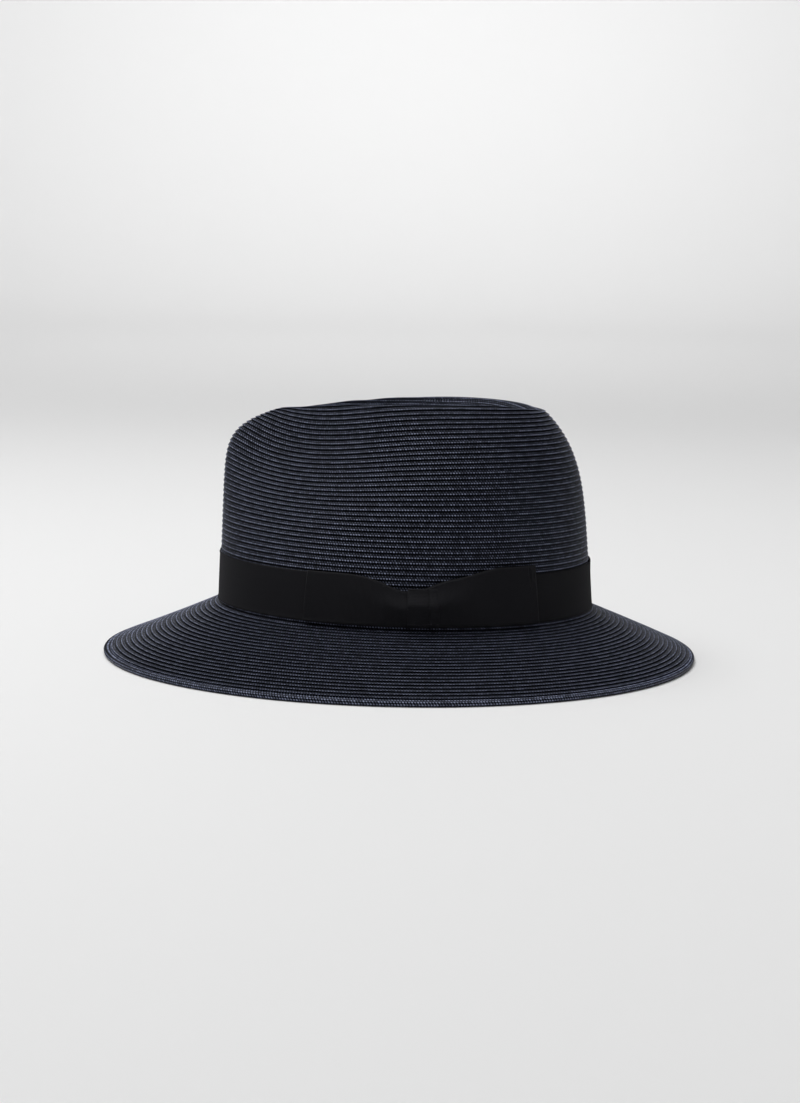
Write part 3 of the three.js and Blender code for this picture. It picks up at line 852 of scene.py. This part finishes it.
# ---- Operators ----------------------------------------------------------------------------
class FEDORA_OT_braid(bpy.types.Operator):
    """Sew the crown and brim from one spiral of braid, and fold the last row over the wire"""

    bl_idname = "fedora.braid"
    bl_label = "Braid"

    ZONES = (
        ("braid_tip_middle", FIRST_TURN, 25.5, ()),
        ("braid_tip_shoulder", 25.5, 33.0, ("crown_tip",)),
        ("braid_crown_upper", 33.0, 43.0, ()),
        ("braid_crown_middle", 43.0, 52.5, ("crown_side",)),
        ("braid_crown_lower", 52.5, 61.0, ()),
        ("braid_under_band", 61.0, CROWN_ROWS, ()),
        ("braid_brim_inner", CROWN_ROWS, 74.6, ()),
        ("braid_brim_middle", 74.6, 82.3, ("brim",)),
        ("braid_brim_outer", 82.3, LAST_TURN, ()),
    )

    def execute(self, context):
        settings = context.scene.fedora_braid
        material = braid_material(settings.dark, settings.light)
        plait, relief = settings.plait / MM, settings.relief / MM
        for name, first, last, stands_for in self.ZONES:
            mesh = braid_zone(name, first, last, plait, relief)
            add_piece(name, mesh, material, "navy_braid", *stands_for)
        edge = edge_ring("braid_edge_row", plait, relief)
        add_piece("braid_edge_row", edge, material, "navy_braid", "brim_edge_row")
        return {"FINISHED"}


class FEDORA_OT_band(bpy.types.Operator):
    """Wrap the grosgrain ribbon round the crown's foot"""

    bl_idname = "fedora.band"
    bl_label = "Ribbon band"

    def execute(self, context):
        settings = context.scene.fedora_ribbon
        material = ribbon_material(settings.dark, settings.light)
        mesh = ribbon_band(settings.rib / MM, settings.relief / MM)
        band = add_piece("grosgrain_band", mesh, material, "black_grosgrain", "ribbon_band")
        return {"FINISHED"}


class FEDORA_OT_bow(bpy.types.Operator):
    """Fold the flat bow's two loops and wrap its knot"""

    bl_idname = "fedora.bow"
    bl_label = "Bow"

    def execute(self, context):
        settings = context.scene.fedora_ribbon
        material = bpy.data.materials["Black grosgrain"]
        rib, relief = settings.rib / MM, settings.relief / MM
        for end in ("front", "rear"):
            mesh = bow_loop(end, rib, relief)
            loop = add_piece(end + "_loop", mesh, material, "black_grosgrain", "bow_%s_loop" % end)
        wide = knot_wrap("knot", -KNOT_HALF, 3.9, 1.0, rib, relief)
        wide = add_piece("knot_wrap", wide, material, "black_grosgrain", "bow_knot")
        narrow = knot_wrap("knot_fold", 3.3, KNOT_HALF, 1.35, rib, relief)
        add_piece("knot_fold", narrow, material, "black_grosgrain", "bow_knot_fold")
        return {"FINISHED"}


class FEDORA_OT_inside(bpy.types.Operator):
    """Set the sweatband, its joint's tape and the blank label inside the crown"""

    bl_idname = "fedora.inside"
    bl_label = "Sweatband"

    def execute(self, context):
        settings = context.scene.fedora_inside
        twill = twill_material(settings.twill_dark, settings.twill_light)
        gap = 0.004
        mesh = inside_strip("sweat", BACK + gap, BACK + TAU - gap, SWEAT_TOP, SWEAT_BOTTOM, SWEAT_OUT,
                            SWEAT_THICK, 361, wave=0.25)
        band = add_piece("twill_sweatband", mesh, twill, "black_twill", "sweatband")
        ribbon = bpy.data.materials["Black grosgrain"]
        inner = SWEAT_OUT - SWEAT_THICK - 0.35
        tape = inside_strip("tape", BACK - 0.07, BACK + 0.07, SWEAT_TOP + 1, S_BREAK - 4, inner, 0.5, 49)
        tape = add_piece("joint_tape", tape, ribbon, "black_grosgrain", "sweatband_seam_tape")
        satin = satin_material(settings.label)
        label = inside_strip("label", BACK - 0.33, BACK - 0.17, SWEAT_TOP + 8, S_BREAK - 12, inner,
                             0.35, 33)
        label = add_piece("blank_label", label, satin, "label_satin", "size_label")
        return {"FINISHED"}


class FEDORA_OT_thread(bpy.types.Operator):
    """Sew the sweatband and tack the ribbon with thread"""

    bl_idname = "fedora.thread"
    bl_label = "Stitches"

    def execute(self, context):
        material = thread_material(context.scene.fedora_inside.thread)
        level = SWEAT_OUT - SWEAT_THICK - 0.1
        count = 150
        stitches = [(S_BREAK - 2.6, TAU * k / count, level, 3.0) for k in range(count)]
        row = add_piece("sweatband_stitches", thread_bars("stitches", stitches), material,
                        "black_thread", "sweatband_stitch_row")
        out = BAND_IN + RIBBON_THICK + 0.1
        tacks = {
            "band_tack_front": (-BACK, BAND_TOP + 1.2, out),
            "band_tack_rear": (BACK, BAND_TOP + 1.2, out + 0.3),
            "band_tack_right": (math.pi, BAND_TOP + 1.2, out),
            "bow_tack_front": (beside_bow(-BOW_REACH["front"] + 3), BAND_TOP + 3.0, out + 0.1),
            "bow_tack_rear": (beside_bow(BOW_REACH["rear"] - 3), BAND_TOP + 3.0, out + 0.1),
        }
        for node, (angle, s, n) in tacks.items():
            bars = [(s + 0.35 * k, angle + 0.004 * (k % 2), n, 1.6) for k in range(3)]
            add_piece("thread_" + node, thread_bars(node, bars), material, "black_thread", node)
        wire = wire_material()
        for node in ("brim_wire", "wire_joiner"):
            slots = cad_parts[node].data.materials
            slots.clear()
            slots.append(wire)
        return {"FINISHED"}


class FEDORA_OT_stage(bpy.types.Operator):
    """Set the pale floor, the soft lights and the camera"""

    bl_idname = "fedora.stage"
    bl_label = "Studio"

    AIM_ACROSS = -0.0003
    AIM_HEIGHT = 0.0558

    def execute(self, context):
        settings = context.scene.fedora_stage
        scene = context.scene
        scene.view_settings.view_transform = "Standard"
        self.floor(settings)
        self.lights(scene, settings)
        self.camera(scene, settings)
        return {"FINISHED"}

    def floor(self, settings):
        """A wide round floor that curves up into a backdrop all round."""
        flat, curve, top = 3.5, 2.0, 2.5
        bm = bmesh.new()
        bmesh.ops.create_grid(bm, x_segments=96, y_segments=48, size=0.5)
        for vert in bm.verts:
            run = (vert.co.y + 0.5) * (flat + curve * BACK + top)
            turn = min(max(run - flat, 0.0) / curve, BACK)
            radius = min(run, flat) + curve * math.sin(turn)
            rise = curve * (1 - math.cos(turn)) + max(run - flat - curve * BACK, 0.0)
            angle = (vert.co.x + 0.5) * TAU
            vert.co = (radius * math.cos(angle), radius * math.sin(angle), rise)
        bmesh.ops.remove_doubles(bm, verts=bm.verts, dist=1e-5)
        bmesh.ops.recalc_face_normals(bm, faces=bm.faces)
        bmesh.ops.reverse_faces(bm, faces=bm.faces)
        mesh = bpy.data.meshes.new("floor")
        bm.to_mesh(mesh)
        bm.free()
        mesh.shade_smooth()
        mesh.materials.append(floor_material(settings.floor))
        floor = bpy.data.objects.new("floor", mesh)
        bpy.context.scene.collection.objects.link(floor)

    def lights(self, scene, settings):
        world = bpy.data.worlds.new("Studio")
        scene.world = world
        world.use_nodes = True
        shade = world.node_tree.nodes["Background"]
        shade.inputs["Color"].default_value = (1.0, 1.0, 1.0, 1.0)
        shade.inputs["Strength"].default_value = 0.06 * settings.light
        for name, place, aim, size, power, spread in (
            ("ceiling", (-0.3, -0.5, 3.6), (-0.3, -0.3, 0.0), 4.6, 109.0, 180),
            ("overhead", (-0.1, -0.6, 1.6), (0.0, 0.0, 0.1), 1.0, 12.0, 180),
            ("backdrop", (-0.2, 0.0, 2.3), (-5.2, 0.0, 0.9), 1.6, 30.0, 70),
        ):
            lamp = bpy.data.lights.new(name, "AREA")
            lamp.size = size
            lamp.spread = math.radians(spread)
            lamp.energy = power * settings.light
            holder = bpy.data.objects.new(name, lamp)
            holder.location = place
            way = Vector(aim) - Vector(place)
            holder.rotation_euler = way.to_track_quat("-Z", "Y").to_euler()
            scene.collection.objects.link(holder)

    def camera(self, scene, settings):
        data = bpy.data.cameras.new("camera")
        data.sensor_fit = "HORIZONTAL"
        data.lens = settings.lens
        camera = bpy.data.objects.new("camera", data)
        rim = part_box("brim_edge_row")
        middle = (rim[0] + rim[1]) / 2
        target = Vector((middle.x, middle.y + self.AIM_ACROSS, self.AIM_HEIGHT))
        back = Vector((math.cos(settings.elevation), 0.0, math.sin(settings.elevation)))
        camera.location = target + back * settings.distance
        turn = back.to_track_quat("Z", "Y").to_matrix()
        camera.rotation_euler = (turn @ Matrix.Rotation(settings.roll, 3, "Z")).to_euler()
        scene.collection.objects.link(camera)
        scene.camera = camera


class FEDORA_PT_panel(bpy.types.Panel):
    """The hat's pieces, in the order they are made"""

    bl_idname = "FEDORA_PT_panel"
    bl_label = "Braid Fedora"
    bl_space_type = "VIEW_3D"
    bl_region_type = "UI"
    bl_category = "Fedora"

    def draw(self, context):
        for operator in OPERATORS:
            self.layout.operator(operator.bl_idname)


OPERATORS = (
    FEDORA_OT_braid, FEDORA_OT_band, FEDORA_OT_bow, FEDORA_OT_inside, FEDORA_OT_thread, FEDORA_OT_stage,
)
SETTINGS = {
    "fedora_braid": FedoraBraidSettings,
    "fedora_ribbon": FedoraRibbonSettings,
    "fedora_inside": FedoraInsideSettings,
    "fedora_stage": FedoraStageSettings,
}


def register():
    for cls in (*SETTINGS.values(), *OPERATORS, FEDORA_PT_panel):
        bpy.utils.register_class(cls)
    for name, cls in SETTINGS.items():
        setattr(bpy.types.Scene, name, bpy.props.PointerProperty(type=cls))


def unregister():
    for name in SETTINGS:
        delattr(bpy.types.Scene, name)
    for cls in reversed((*SETTINGS.values(), *OPERATORS, FEDORA_PT_panel)):
        bpy.utils.unregister_class(cls)


def main():
    register()
    bpy.ops.fedora.braid()
    bpy.ops.fedora.band()
    bpy.ops.fedora.bow()
    bpy.ops.fedora.inside()
    bpy.ops.fedora.thread()
    bpy.ops.fedora.stage()


if __name__ == "__main__":
    main()
